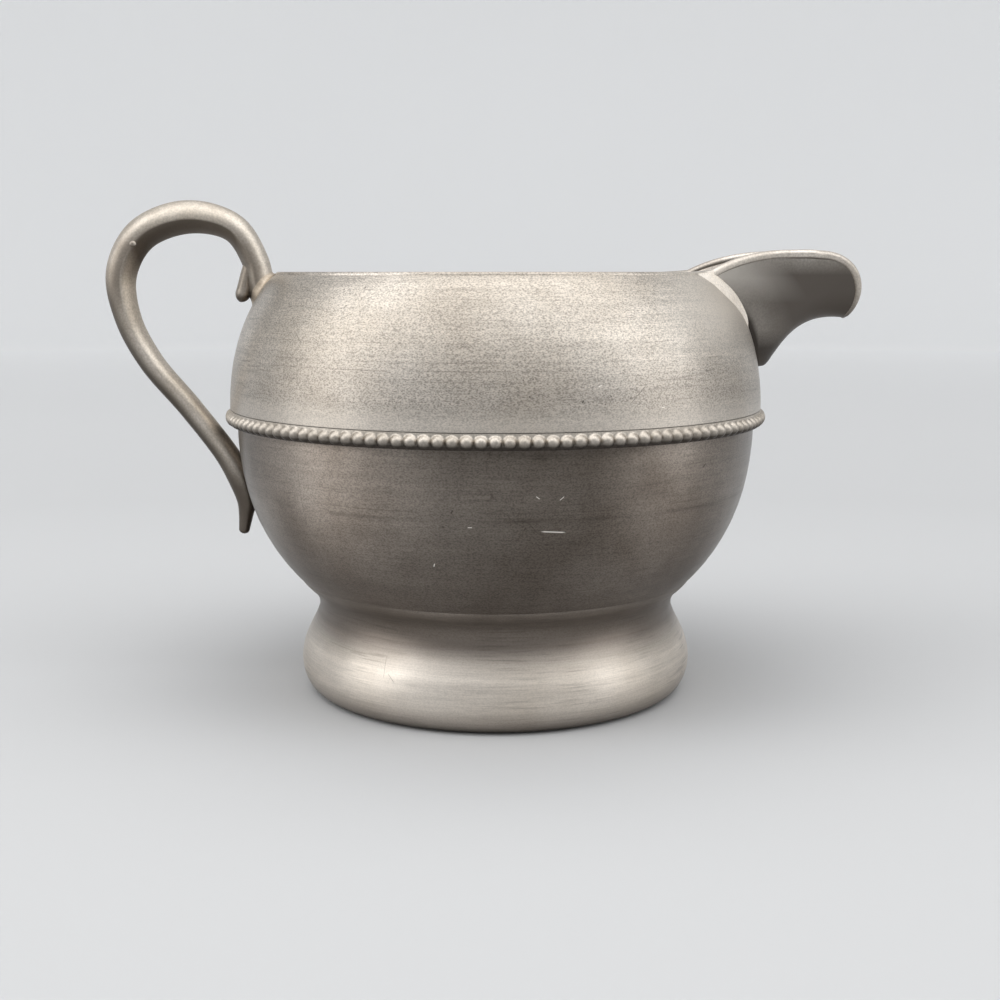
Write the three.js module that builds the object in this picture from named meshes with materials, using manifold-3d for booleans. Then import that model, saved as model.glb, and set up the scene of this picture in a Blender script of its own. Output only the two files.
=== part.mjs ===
// Pewter cream jug: spun bowl, shoulder and foot, cast spout, handle and beaded band, all soldered.
// Millimetres, +Z up, +X towards the spout, the table at z = 0.
import * as THREE from 'three';
import { mergeVertices } from 'three/addons/utils/BufferGeometryUtils.js';
import Module from 'manifold-3d';

const wasm = await Module();
wasm.setup();

// Body of revolution, spun from sheet
const BODY_RADIUS = 44.3; // outside of the shoulder at its widest
const BELLY_HEIGHT = 46.7; // widest place above the table
const BOWL_DEPTH = 38.7; // from the widest place down to the underside of the bowl
const SHOULDER_RISE = 36.4; // from the widest place to where the shoulder's curve would close
const ROUNDNESS = 2.3; // exponent of the body's curve, 2 being an ellipse
const RIM_HEIGHT = 70.1;
const WALL = 1; // thickness of the spun sheet
const LAP = 4; // length of bowl lip inside the shoulder
const JOINT_GAP = 0.15; // film between soldered pieces
const ROUND_STEPS = 64; // facets around the axis

// Beaded band
const BEAD_COUNT = 138;
const BEAD_RADIUS = 1.05;
const BAND_HEIGHT = 2.4;
const BAND_THICKNESS = 0.75; // of the strip that carries the beads

// Ring foot
const NECK_RADIUS = 30.2; // outside of the upright collar under the bowl
const COLLAR_HEIGHT = 2.5; // upright part of the foot, below the bowl
const FOOT_BULGE = 3.1; // how far the rolled side stands out past the collar
const FOOT_BULGE_HEIGHT = 5.2;
const FOOT_UNDERCUT = 3.7; // from the widest roll back to the edge of the flat base
const FOOT_LEDGE = 3; // width of the flat base ring
const FOOT_FILLET = 1.8;

// Spout
const SPOUT_HALF = 14.5; // half width at the rim
const SPOUT_CLEAR = 6.15; // point of the joint above the shoulder's lower edge
const SPOUT_REACH = 15.9; // front of the lip past the body
const SPOUT_RISE = 3.8; // crest of the lip above the rim
const SPOUT_FLOOR = 7.8; // underside of the lip below the rim
const LIP_HALF = 8.8; // half width at the crest
const LIP_NOSE = 10.2; // from the front of the lip back to its crest
const SPOUT_WALL = 1.3;
const SPOUT_FILLET = 1.1;

// Handle
const HANDLE_REACH = 20.9; // outside of the grip past the body
const HANDLE_RISE = 11.9; // top of the loop above the rim
const HANDLE_BAR = 5.5; // thickness at the top of the loop
const HANDLE_BREADTH = 6.2; // breadth of the bar there
const HANDLE_SEAT = 3.1; // middle of the upper end below the rim
const HANDLE_LANDING = 11.1; // middle of the lower end below the widest place
const TAIL_LENGTH = 10; // from the lower end down to the tip of the tail
const HANDLE_FILLET = 0.9;

const bowlTop = BODY_RADIUS - WALL - JOINT_GAP;
const seamHeight = BELLY_HEIGHT + BAND_HEIGHT / 2 + JOINT_GAP;
const lapTop = seamHeight + LAP;
const spoutDrop = RIM_HEIGHT - seamHeight - SPOUT_CLEAR;

// Outside radius of the shoulder at a height
function shoulderRadius(z) {
  const share = (z - BELLY_HEIGHT) / SHOULDER_RISE;
  return BODY_RADIUS * (1 - share ** ROUNDNESS) ** (1 / ROUNDNESS);
}

// Outside radius of the bowl at a height below the widest place
function bowlRadius(z) {
  const share = (BELLY_HEIGHT - z) / BOWL_DEPTH;
  return bowlTop * (1 - share ** ROUNDNESS) ** (1 / ROUNDNESS);
}

// Height of the bowl's underside at a radius
function bowlUnderside(r) {
  return BELLY_HEIGHT - BOWL_DEPTH * (1 - (r / bowlTop) ** ROUNDNESS) ** (1 / ROUNDNESS);
}

// Moves an outline that runs upwards towards the axis by a distance
function inset(points, distance) {
  return points.map((p, i) => {
    if (p.x < 1e-6) {
      return new THREE.Vector2(0, p.y + distance);
    }
    const before = points[Math.max(i - 1, 0)];
    const after = points[Math.min(i + 1, points.length - 1)];
    const along = after.clone().sub(before).normalize();
    return new THREE.Vector2(p.x - along.y * distance, p.y + along.x * distance);
  });
}

function bowlOutline() {
  const steps = 10;
  const points = [];
  for (let i = 0; i <= steps; i++) {
    const angle = (Math.PI / 2) * (1 - i / steps);
    const r = i === 0 ? 0 : bowlTop * Math.cos(angle) ** (2 / ROUNDNESS);
    const z = BELLY_HEIGHT - BOWL_DEPTH * Math.sin(angle) ** (2 / ROUNDNESS);
    points.push(new THREE.Vector2(r, z));
  }
  return points;
}

function shoulderOutline() {
  const steps = 8;
  const points = [];
  for (let i = 0; i <= steps; i++) {
    const z = seamHeight + (RIM_HEIGHT - WALL / 2 - seamHeight) * (1 - (1 - i / steps) ** 1.4);
    points.push(new THREE.Vector2(shoulderRadius(z), z));
  }
  return points;
}

// Turns triangles so that the faces point out, and drops those with no area
function facesOut(geometry) {
  geometry.deleteAttribute('normal');
  geometry.deleteAttribute('uv');
  const merged = mergeVertices(geometry);
  const at = merged.getAttribute('position');
  const corners = [0, 1, 2].map(() => new THREE.Vector3());
  const kept = [];
  let volume = 0;
  for (let i = 0; i < merged.index.count; i += 3) {
    const ids = [0, 1, 2].map((k) => merged.index.getX(i + k));
    if (new Set(ids).size === 3) {
      kept.push(ids);
      ids.forEach((id, k) => corners[k].fromBufferAttribute(at, id));
      volume += corners[0].dot(corners[1].clone().cross(corners[2]));
    }
  }
  merged.setIndex(kept.flatMap((ids) => (volume < 0 ? [ids[0], ids[2], ids[1]] : ids)));
  return merged;
}

// Revolves an outline of (radius, height) points about the upright axis
function turned(points) {
  return facesOut(new THREE.LatheGeometry(points, ROUND_STEPS).rotateX(Math.PI / 2));
}

// Skins a row of equal closed loops, capping the ends or joining the last loop to the first
function lofted(loops, ring) {
  const count = loops[0].length;
  const index = [];
  const spans = ring ? loops.length : loops.length - 1;
  for (let i = 0; i < spans; i++) {
    const here = i * count;
    const next = ((i + 1) % loops.length) * count;
    for (let j = 0; j < count; j++) {
      const k = (j + 1) % count;
      index.push(here + j, here + k, next + k, here + j, next + k, next + j);
    }
  }
  const cap = (base, flip) => {
    for (let a = 0, b = count - 1; a + 1 < b; a++, b--) {
      const triangles = [[a, a + 1, b]];
      if (a + 1 < b - 1) {
        triangles.push([a + 1, b - 1, b]);
      }
      for (const [p, q, r] of triangles) {
        index.push(base + p, base + (flip ? q : r), base + (flip ? r : q));
      }
    }
  };
  if (!ring) {
    cap(0, false);
    cap((loops.length - 1) * count, true);
  }
  const geometry = new THREE.BufferGeometry();
  const corners = loops.flat().flatMap((p) => p.toArray());
  geometry.setAttribute('position', new THREE.Float32BufferAttribute(corners, 3));
  geometry.setIndex(index);
  return facesOut(geometry);
}

function solid(geometry) {
  return new wasm.Manifold(new wasm.Mesh({
    numProp: 3,
    vertProperties: Float32Array.from(geometry.getAttribute('position').array),
    triVerts: Uint32Array.from(geometry.index.array),
  }));
}

// Largest single body of a boolean result
function geometryOf(result) {
  const bodies = result.decompose().sort((a, b) => b.volume() - a.volume());
  const mesh = bodies[0].getMesh();
  const geometry = new THREE.BufferGeometry();
  geometry.setAttribute('position', new THREE.Float32BufferAttribute(mesh.vertProperties, 3));
  geometry.setIndex(Array.from(mesh.triVerts));
  return geometry;
}

// Closed form of the whole body, grown outwards, to cut what is soldered onto it
function bodyForm(grow) {
  const upper = inset(shoulderOutline(), -grow);
  return solid(turned([
    ...inset(bowlOutline(), -grow),
    new THREE.Vector2(bowlTop + grow, seamHeight - grow),
    ...upper,
    new THREE.Vector2(upper.at(-1).x, RIM_HEIGHT + grow),
    new THREE.Vector2(0, RIM_HEIGHT + grow),
  ]));
}

function lowerBowl() {
  const outside = bowlOutline();
  for (const z of [seamHeight, lapTop]) {
    outside.push(new THREE.Vector2(shoulderRadius(z) - WALL - JOINT_GAP, z));
  }
  return turned([...outside, ...inset(outside, WALL).reverse()]);
}

// Shoulder with a half-round rim and a notch where the spout opens into it
function shoulder() {
  const outside = shoulderOutline();
  const inside = inset(outside, WALL);
  const edge = outside.at(-1);
  const rimInside = new THREE.Vector2(edge.x - WALL, edge.y);
  const halfRound = new THREE.EllipseCurve(edge.x - WALL / 2, edge.y, WALL / 2, WALL / 2, 0, Math.PI);
  const rim = halfRound.getPoints(4).slice(1, -1);
  inside[inside.length - 1] = rimInside;
  const shell = turned([...outside, ...rim, ...inside.reverse(), outside[0]]);
  const notch = new THREE.Shape();
  const margin = SPOUT_WALL + JOINT_GAP;
  const steps = 8;
  for (let i = -steps; i <= steps; i++) {
    const seam = spoutSeam(i / steps);
    const y = seam.y * (1 - margin / SPOUT_HALF);
    const z = Math.max(seam.z, RIM_HEIGHT - spoutDrop) + margin * (1.6 - Math.abs(i / steps));
    if (i === -steps) {
      notch.moveTo(y, z);
    } else {
      notch.lineTo(y, z);
    }
  }
  notch.lineTo(SPOUT_HALF - margin, RIM_HEIGHT + WALL);
  notch.lineTo(margin - SPOUT_HALF, RIM_HEIGHT + WALL);
  const cutter = new THREE.ExtrudeGeometry(notch, { depth: BODY_RADIUS, bevelEnabled: false });
  cutter.rotateX(Math.PI / 2).rotateZ(Math.PI / 2).translate(BODY_RADIUS / 3, 0, 0);
  return geometryOf(solid(shell).subtract(solid(facesOut(cutter))));
}

// Solder run into the corner above the bowl's lip, inside the shoulder
function seamSolder() {
  const bottom = lapTop + JOINT_GAP;
  const outer = shoulderRadius(bottom + WALL) - WALL - JOINT_GAP * 2;
  return turned([
    new THREE.Vector2(outer - WALL, bottom),
    new THREE.Vector2(outer, bottom),
    new THREE.Vector2(outer, bottom + WALL),
    new THREE.Vector2(outer - WALL * 0.7, bottom + WALL * 0.3),
    new THREE.Vector2(outer - WALL, bottom),
  ]);
}

// Strip of round beads lying on the bowl under the shoulder's edge
function beadedBand() {
  const inner = bowlTop + JOINT_GAP;
  const face = inner + BAND_THICKNESS;
  const loops = [];
  for (let i = 0; i < BEAD_COUNT * 2; i++) {
    const angle = (Math.PI * i) / BEAD_COUNT;
    const swell = i % 2 ? BEAD_RADIUS : BEAD_RADIUS * 0.15;
    const section = [
      [inner, -BAND_HEIGHT / 2],
      [face, -BAND_HEIGHT / 2],
      [face + swell, -BEAD_RADIUS / 2],
      [face + swell, BEAD_RADIUS / 2],
      [face, BAND_HEIGHT / 2],
      [inner, BAND_HEIGHT / 2],
    ];
    loops.push(section.map(([r, z]) => (
      new THREE.Vector3(r * Math.cos(angle), r * Math.sin(angle), BELLY_HEIGHT + z)
    )));
  }
  return lofted(loops, true);
}

// Hollow foot: flat base ring, rolled side, upright collar whose top follows the bowl
function foot() {
  const wide = NECK_RADIUS + FOOT_BULGE;
  const base = wide - FOOT_UNDERCUT;
  const side = new THREE.Path();
  side.moveTo(base, 0);
  const under = FOOT_BULGE_HEIGHT * 0.45;
  side.bezierCurveTo(base + FOOT_UNDERCUT * 0.6, 0, wide, under, wide, FOOT_BULGE_HEIGHT);
  const collar = new THREE.Vector2(NECK_RADIUS, bowlUnderside(NECK_RADIUS) - JOINT_GAP);
  const neck = collar.y - COLLAR_HEIGHT;
  const rise = neck - FOOT_BULGE_HEIGHT;
  const midway = NECK_RADIUS + FOOT_BULGE * 0.45;
  side.bezierCurveTo(wide, FOOT_BULGE_HEIGHT + rise * 0.4, midway, neck - rise * 0.3, NECK_RADIUS, neck);
  const outside = side.getPoints(5);
  const inside = inset(outside, WALL);
  inside[0].set(base, WALL);
  inside[inside.length - 1].x = NECK_RADIUS - WALL;
  const inner = NECK_RADIUS - WALL;
  return turned([
    new THREE.Vector2(base - FOOT_LEDGE, 0),
    ...outside,
    collar,
    new THREE.Vector2(inner, bowlUnderside(inner) - JOINT_GAP),
    ...inside.reverse(),
    new THREE.Vector2(base - FOOT_LEDGE, WALL),
    new THREE.Vector2(base - FOOT_LEDGE, 0),
  ]);
}

// Concave fillet ring in the corner between collar and bowl
function footSolder() {
  const inner = NECK_RADIUS + JOINT_GAP;
  const outer = inner + FOOT_FILLET;
  const corner = bowlUnderside(inner) - JOINT_GAP * 2;
  const upper = bowlUnderside(outer) - JOINT_GAP * 2;
  const lower = corner - FOOT_FILLET;
  return turned([
    new THREE.Vector2(inner, lower),
    new THREE.Vector2(inner + FOOT_FILLET * 0.25, lower + (upper - lower) * 0.45),
    new THREE.Vector2(outer, upper),
    new THREE.Vector2(inner + FOOT_FILLET * 0.5, bowlUnderside(inner + FOOT_FILLET * 0.5) - JOINT_GAP * 2),
    new THREE.Vector2(inner, corner),
    new THREE.Vector2(inner, lower),
  ]);
}

// Joint line of the spout on the shoulder, from one rim corner (-1) by the point (0) to the other (1)
function spoutSeam(s) {
  const z = RIM_HEIGHT - spoutDrop * (1 - Math.abs(s) ** 1.25);
  const y = SPOUT_HALF * s;
  const r = shoulderRadius(Math.min(z, RIM_HEIGHT - WALL / 2));
  return new THREE.Vector3(Math.sqrt(r * r - y * y), y, z);
}

// Edge of the pouring lip, from crest to crest by the keel
function spoutLip(s) {
  const front = BODY_RADIUS + SPOUT_REACH;
  const floor = RIM_HEIGHT - SPOUT_FLOOR;
  const crest = RIM_HEIGHT + SPOUT_RISE;
  const height = crest - floor;
  const side = new THREE.CubicBezierCurve(
    new THREE.Vector2(front - LIP_NOSE * 0.12, floor),
    new THREE.Vector2(front + LIP_NOSE * 0.14, floor + height * 0.4),
    new THREE.Vector2(front - LIP_NOSE * 0.06, crest),
    new THREE.Vector2(front - LIP_NOSE, crest),
  );
  const p = side.getPoint(Math.abs(s));
  const y = LIP_HALF * Math.sin(Math.abs(s) * Math.PI / 2) ** 0.55;
  return new THREE.Vector3(p.x, Math.sign(s) * y, p.y);
}

// Point on the outside of the spout, v running from the joint to the lip
function spoutPoint(s, v) {
  const a = Math.abs(s);
  const start = spoutSeam(s);
  const end = spoutLip(s);
  const span = end.x - start.x;
  const mix = (keel, top) => keel + (top - keel) * a;
  const pinch = -Math.sign(s) * SPOUT_HALF * mix(0, 0.17);
  const flare = Math.sign(s) * LIP_HALF * mix(0, 0.11);
  const leave = new THREE.Vector3(span * mix(0.25, 0.3), pinch, spoutDrop * mix(0.02, 0.18));
  const arrive = new THREE.Vector3(-span * mix(0.68, 0.3), flare, SPOUT_FLOOR * mix(0.16, 0));
  const curve = new THREE.CubicBezierCurve3(start, start.clone().add(leave), end.clone().add(arrive), end);
  if (v < 0) {
    return start.addScaledVector(leave.normalize(), v);
  }
  return curve.getPoint(v);
}

// Spout wall between its outside, grown by some amount, and a depth below it
function spoutForm(grow, depth) {
  const across = 22;
  const along = 8;
  const step = 0.01;
  const loops = [];
  for (let i = 0; i <= across; i++) {
    const s = -1 + (2 * i) / across;
    const outside = [];
    const inside = [];
    for (let j = -1; j <= along; j++) {
      const v = j < 0 ? -SPOUT_WALL * 2.3 : j / along;
      const at = spoutPoint(s, v);
      const level = THREE.MathUtils.clamp(v, step, 1 - step);
      const bound = THREE.MathUtils.clamp(s, step - 1, 1 - step);
      const sideways = spoutPoint(bound + step, level).sub(spoutPoint(bound - step, level));
      const forward = spoutPoint(bound, level + step).sub(spoutPoint(bound, level - step));
      const inward = forward.cross(sideways).normalize();
      outside.push(at.clone().addScaledVector(inward, -grow));
      inside.push(at.clone().addScaledVector(inward, depth));
    }
    loops.push([...outside, ...inside.reverse()]);
  }
  return solid(lofted(loops, false));
}

function spout() {
  return geometryOf(spoutForm(0, SPOUT_WALL).subtract(bodyForm(JOINT_GAP)));
}

// Solder bead along the joint of spout and shoulder
function spoutSolder() {
  const path = [];
  const steps = 16;
  for (let i = -steps; i <= steps; i++) {
    path.push(spoutSeam((0.97 * i) / steps));
  }
  const section = new THREE.Shape().absarc(0, 0, SPOUT_FILLET, 0, Math.PI * 2);
  const bead = new THREE.ExtrudeGeometry(section, {
    extrudePath: new THREE.CatmullRomCurve3(path),
    steps: steps * 2,
    curveSegments: 5,
  });
  const cut = bodyForm(JOINT_GAP).add(spoutForm(JOINT_GAP, SPOUT_WALL + SPOUT_FILLET));
  return geometryOf(solid(facesOut(bead)).subtract(cut));
}

// Curve through points (distance out from the axis, height, share of the bar's thickness);
// the thickness takes the place of y
function barLine(points) {
  return new THREE.CatmullRomCurve3(points.map(([out, z, thick]) => (
    new THREE.Vector3(-out, thick * HANDLE_BAR, z)
  )));
}

// Middle line of the handle's bar
function handleLine() {
  const seat = RIM_HEIGHT - HANDLE_SEAT;
  const landing = BELLY_HEIGHT - HANDLE_LANDING;
  const root = shoulderRadius(seat);
  const out = BODY_RADIUS + HANDLE_REACH - HANDLE_BAR * 0.47;
  const top = RIM_HEIGHT + HANDLE_RISE - HANDLE_BAR / 2;
  const loop = (across, up, thick) => [root + (out - root) * across, landing + (top - landing) * up, thick];
  const wall = (below, clear, thick) => [bowlRadius(landing - below) + clear, landing - below, thick];
  const points = [
    [root - HANDLE_BAR * 0.2, seat - HANDLE_BAR * 0.5, 0.86],
    [root + HANDLE_BAR * 0.05, seat, 0.86],
    loop(0.055, 0.835, 0.82),
    loop(0.2, 0.958, 0.86),
    loop(0.52, 1, 1),
    loop(0.85, 0.933, 1),
    loop(1, 0.789, 0.94),
    loop(0.967, 0.617, 0.81),
    loop(0.816, 0.45, 0.76),
    loop(0.548, 0.271, 0.73),
    loop(0.3, 0.09, 0.74),
    wall(0, HANDLE_BAR * 0.3, 0.8),
    wall(TAIL_LENGTH * 0.38, HANDLE_BAR * 0.3, 0.66),
    wall(TAIL_LENGTH * 0.65, HANDLE_BAR * 0.53, 0.43),
    wall(TAIL_LENGTH, HANDLE_BAR * 0.95, 0.22),
  ];
  return barLine(points);
}

// Small scroll tip that leaves the inner side of the bar above its upper end
function scrollLine() {
  const seat = RIM_HEIGHT - HANDLE_SEAT;
  const x = shoulderRadius(seat) + HANDLE_BAR * 0.5;
  const points = [
    [x - HANDLE_BAR * 0.1, seat + HANDLE_BAR * 0.8, 0.34],
    [x, seat + HANDLE_BAR * 0.3, 0.32],
    [x + HANDLE_BAR * 0.08, seat, 0.3],
    [x + HANDLE_BAR * 0.22, seat - HANDLE_BAR * 0.26, 0.2],
  ];
  return barLine(points);
}

// Bar of oval section along part of a middle line, grown all round
function bar(line, from, to, steps, grow) {
  const sides = 12;
  const loops = [];
  for (let i = 0; i <= steps; i++) {
    const t = from + ((to - from) * i) / steps;
    const middle = line.getPoint(t);
    const along = line.getTangent(t).setY(0).normalize();
    const half = middle.y / 2 + grow;
    const loop = [];
    for (let j = 0; j < sides; j++) {
      const angle = (Math.PI * 2 * (j + 0.5)) / sides;
      const across = half * Math.cos(angle);
      const y = half * (HANDLE_BREADTH / HANDLE_BAR) * Math.sin(angle);
      loop.push(new THREE.Vector3(middle.x - along.z * across, y, middle.z + along.x * across));
    }
    loops.push(loop);
  }
  return solid(lofted(loops, false));
}

function handleForm(grow) {
  return bar(handleLine(), 0, 1, 48, grow).add(bar(scrollLine(), 0, 1, 8, grow));
}

function handle() {
  return geometryOf(handleForm(0).subtract(bodyForm(JOINT_GAP)));
}

// Solder pad around one end of the handle, lying on the body
function handleSolder(from, to) {
  const pad = bar(handleLine(), from, to, 12, HANDLE_FILLET).intersect(bodyForm(HANDLE_FILLET));
  return geometryOf(pad.subtract(bodyForm(JOINT_GAP)).subtract(handleForm(JOINT_GAP)));
}

function pewter(color, roughness) {
  return new THREE.MeshStandardMaterial({ color, roughness, metalness: 0.9 });
}

const spun = pewter(0x9b958b, 0.38);
const cast = pewter(0x97918a, 0.42);
const solder = pewter(0xa39d93, 0.5);

const jug = new THREE.Group();
function place(name, geometry, material) {
  const mesh = new THREE.Mesh(geometry, material);
  mesh.name = name;
  jug.add(mesh);
}

place('lower_bowl', lowerBowl(), spun);
place('shoulder', shoulder(), spun);
place('seam_solder', seamSolder(), solder);
place('beaded_band', beadedBand(), cast);
place('foot', foot(), spun);
place('foot_solder', footSolder(), solder);
place('spout', spout(), cast);
place('spout_solder', spoutSolder(), solder);
place('handle', handle(), cast);
place('handle_upper_solder', handleSolder(0, 0.13), solder);
place('handle_lower_solder', handleSolder(0.6, 1), solder);

// The origin lies on the table under the middle of the whole length, handle to spout
jug.position.x = -new THREE.Box3().setFromObject(jug).getCenter(new THREE.Vector3()).x;
const part = new THREE.Group();
part.add(jug);

export default part;
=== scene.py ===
# Pewter cream jug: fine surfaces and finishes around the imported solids.
# Metres, +Z up, +X towards the spout, the table at z = 0.
import math
import random

import bmesh
import bpy
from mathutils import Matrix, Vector
from mathutils.bvhtree import BVHTree


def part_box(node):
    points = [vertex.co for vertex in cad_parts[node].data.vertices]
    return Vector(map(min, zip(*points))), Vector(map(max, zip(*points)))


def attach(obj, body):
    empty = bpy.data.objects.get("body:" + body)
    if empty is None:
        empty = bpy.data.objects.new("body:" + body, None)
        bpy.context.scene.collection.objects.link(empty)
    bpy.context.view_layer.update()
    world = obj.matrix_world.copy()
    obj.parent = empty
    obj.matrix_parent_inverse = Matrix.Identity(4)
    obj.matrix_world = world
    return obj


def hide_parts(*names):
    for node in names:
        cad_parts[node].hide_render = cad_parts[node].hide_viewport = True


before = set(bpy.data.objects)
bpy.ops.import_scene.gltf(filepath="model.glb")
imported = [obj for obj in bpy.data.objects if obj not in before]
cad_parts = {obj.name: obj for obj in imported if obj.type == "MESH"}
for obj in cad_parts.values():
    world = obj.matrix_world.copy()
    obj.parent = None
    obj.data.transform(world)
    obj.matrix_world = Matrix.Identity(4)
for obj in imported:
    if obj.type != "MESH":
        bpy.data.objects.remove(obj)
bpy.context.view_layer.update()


# Lower bowl: a cup spun from pewter sheet over a former, closed below, with a plain lip above that
# slips inside the shoulder. The outside keeps faint rings of the spinning tool, pits and old scratches.
mm = 0.001
wall = 1 * mm
film = 0.15 * mm
roundness = 2.3
shoulder_rise = 36.4 * mm
bowl_low, bowl_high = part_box("lower_bowl")
band_low, band_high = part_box("beaded_band")
jug_axis = (bowl_low.x + bowl_high.x) / 2
bowl_radius = (bowl_high.y - bowl_low.y) / 2
body_radius = bowl_radius + wall + film
belly_height = (band_low.z + band_high.z) / 2
bowl_depth = belly_height - bowl_low.z
seam_height = band_high.z + film
lap_top = bowl_high.z
tool_mark_depth = 0.012 * mm
round_steps = 256
axis_gap = 0.01 * mm
weld_gap = 0.0005 * mm


def body_curve(share):
    """Quarter of a slightly square oval: one half-width's share that is left at a share of the other"""
    return (1 - share ** roundness) ** (1 / roundness)


def shoulder_radius(z):
    """Radius of the shoulder's outside at a height"""
    return body_radius * body_curve((z - belly_height) / shoulder_rise)


def bowl_wall(z):
    """Radius of the bowl's outside at a height"""
    return bowl_radius * body_curve((belly_height - z) / bowl_depth)


def bowl_underside(r):
    """Height of the bowl's outside at a radius"""
    return belly_height - bowl_depth * body_curve(r / bowl_radius)


def inset(outline, depths):
    """Moves each point of an outline that runs upwards towards the axis by its depth"""
    moved = []
    for i, (r, z) in enumerate(outline):
        r0, z0 = outline[max(i - 1, 0)]
        r1, z1 = outline[min(i + 1, len(outline) - 1)]
        step = math.hypot(r1 - r0, z1 - z0)
        depth = depths[i]
        moved.append((max(r - (z1 - z0) / step * depth, 0), z + (r1 - r0) / step * depth))
    return moved


def walled(outline):
    """Inner side of a sheet whose outside is the outline"""
    return inset(outline, [wall] * len(outline))


def tool_marked(outline):
    """Shallow uneven rings that the spinning tool leaves along an outline"""
    run = 0
    depths = []
    for i, (r, z) in enumerate(outline):
        if i:
            run += math.hypot(r - outline[i - 1][0], z - outline[i - 1][1]) / mm
        rings = 0.5 * math.sin(run * 2.3) + 0.35 * math.sin(run * 1.37 + 1.3) + 0.4 * math.sin(run * 0.5 + 4)
        depths.append(tool_mark_depth * rings)
    return inset(outline, depths)


def about(r, turn, z):
    """Point at a radius, a turn about the axis and a height"""
    return Vector((r * math.cos(turn), r * math.sin(turn), z))


def skinned(loops, joined):
    """Mesh over a row of equal closed loops, from the last to the first too if joined, and its rings"""
    form = bmesh.new()
    rings = [[form.verts.new(point) for point in loop] for loop in loops]
    pairs = list(zip(rings, rings[1:]))
    if joined:
        pairs.append((rings[-1], rings[0]))
    count = len(loops[0])
    for here, there in pairs:
        for j in range(count):
            k = (j + 1) % count
            form.faces.new((here[j], here[k], there[k], there[j]))
    return form, rings


def turned(outline, steps=round_steps):
    """Spins an outline of (radius, height) points about the axis, closing it unless it starts there"""
    turns = [2 * math.pi * step / steps for step in range(steps)]
    circles = [[about(r, turn, z) for turn in turns] for r, z in outline]
    form = skinned(circles, outline[0][0] > axis_gap)[0]
    bmesh.ops.remove_doubles(form, verts=form.verts, dist=weld_gap)
    return form


def piece_of(form, name, crease=40):
    """Object from a mesh about the jug's axis, smooth but for edges sharper than the crease angle"""
    bmesh.ops.recalc_face_normals(form, faces=form.faces)
    mesh = bpy.data.meshes.new(name)
    form.to_mesh(mesh)
    form.free()
    mesh.shade_smooth()
    mesh.set_sharp_from_angle(angle=math.radians(crease))
    piece = bpy.data.objects.new(name, mesh)
    piece.location.x = jug_axis
    bpy.context.scene.collection.objects.link(piece)
    return piece


def wire(tree, kind, inputs, output=0, **options):
    """Adds a shader node with its options, each input taking a value or another node's output"""
    made = tree.nodes.new(kind)
    for option, value in options.items():
        setattr(made, option, value)
    for socket, value in inputs.items():
        if isinstance(value, bpy.types.NodeSocket):
            tree.links.new(value, made.inputs[socket])
        else:
            made.inputs[socket].default_value = value
    return made.outputs[output]


def fresh_finish(name):
    """New finish, its node tree and its shader"""
    finish = bpy.data.materials.new(name)
    finish.use_nodes = True
    return finish, finish.node_tree, finish.node_tree.nodes["Principled BSDF"]


def place_in(tree):
    """Place on a piece, measured from the jug's axis and the table"""
    return wire(tree, "ShaderNodeTexCoord", {}, "Object")


def parts_of(tree, vector):
    """X, Y and Z of a place or a direction"""
    return wire(tree, "ShaderNodeSeparateXYZ", {"Vector": vector}).node.outputs


def from_axis(tree, place):
    """Distance of a place from the jug's axis"""
    flat = wire(tree, "ShaderNodeVectorMath", {0: place, 1: (1, 1, 0)}, operation="MULTIPLY")
    return wire(tree, "ShaderNodeVectorMath", {0: flat}, "Value", operation="LENGTH")


def sums(tree, operation, *values):
    """One step of arithmetic in a finish"""
    return wire(tree, "ShaderNodeMath", dict(enumerate(values)), operation=operation)


def spread(tree, value, low, high, to_low=0.0, to_high=1.0):
    """Stretches a part of a value's range, held at its ends"""
    inputs = {"Value": value, "From Min": low, "From Max": high, "To Min": to_low, "To Max": to_high}
    return wire(tree, "ShaderNodeMapRange", inputs)


def tinted(tree, share, first, second, blend="MIX"):
    """Blends a second colour over the first by its share"""
    inputs = {"Fac": share, "Color1": first, "Color2": second}
    return wire(tree, "ShaderNodeMixRGB", inputs, blend_type=blend)


def shaded(tree, colour, pattern, low, high, dark, light):
    """Darkens and lightens a colour by a pattern"""
    return tinted(tree, 1.0, colour, spread(tree, pattern, low, high, dark, light), "MULTIPLY")


def clouds(tree, place, scale, detail):
    """Soft cloudy pattern"""
    return wire(tree, "ShaderNodeTexNoise", {"Vector": place, "Scale": scale, "Detail": detail})


def pits_in(tree, place, scale, size):
    """Mask of scattered pits by their size"""
    dots = wire(tree, "ShaderNodeTexVoronoi", {"Vector": place, "Scale": scale}, "Distance")
    return spread(tree, sums(tree, "SUBTRACT", size, dots), 0.0, 0.06)


def as_metal(tree, shader, colour, gloss, relief, strength, depth):
    """Makes a finish metal, with its colour, its roughness and the strength and depth of its relief"""
    bump = wire(tree, "ShaderNodeBump", {"Height": relief, "Strength": strength, "Distance": depth})
    for socket, value in (("Base Color", colour), ("Roughness", gloss), ("Normal", bump)):
        tree.links.new(value, shader.inputs[socket])
    shader.inputs["Metallic"].default_value = 1.0


def painted_over(finish, share, overlay, blend="MIX"):
    """Blends a colour over a finish's colour, here to paint light and shade onto it"""
    tree = finish.node_tree
    shader = tree.nodes["Principled BSDF"]
    colour = shader.inputs["Base Color"].links[0].from_socket
    tree.links.new(tinted(tree, share, colour, overlay, blend), shader.inputs["Base Color"])
    return finish


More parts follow.
